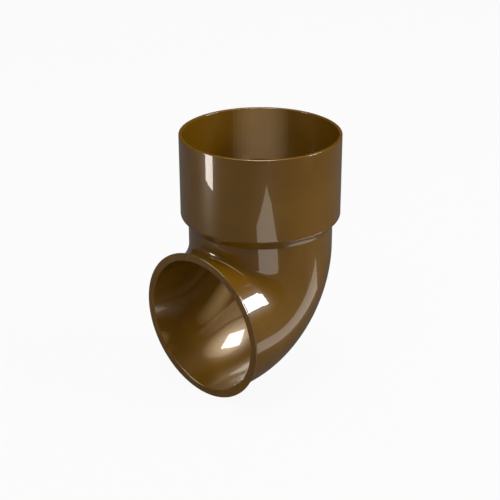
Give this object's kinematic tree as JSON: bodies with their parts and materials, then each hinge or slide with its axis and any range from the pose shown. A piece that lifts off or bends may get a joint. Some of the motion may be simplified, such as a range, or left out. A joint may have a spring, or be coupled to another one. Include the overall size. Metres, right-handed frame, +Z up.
{
  "type": "downspout elbow",
  "caption": "Moulded round downspout outlet elbow: a pipe socket above a tight bend that ends in a short outlet with a beaded edge.",
  "frame": {"origin": "on the socket's axis, level with the lower end of its bore, where the passage narrows and stops the pipe", "axes": "+Z up along the socket's axis, the way the pipe leaves; the outlet faces -Y"},
  "size_m": [0.0844, 0.089, 0.1358],
  "materials": {
    "brown_plastic": "glossy golden brown, as moulded"
  },
  "bodies": {
    "root": {"downspout_elbow": "brown_plastic"}
  },
  "joints": []
}
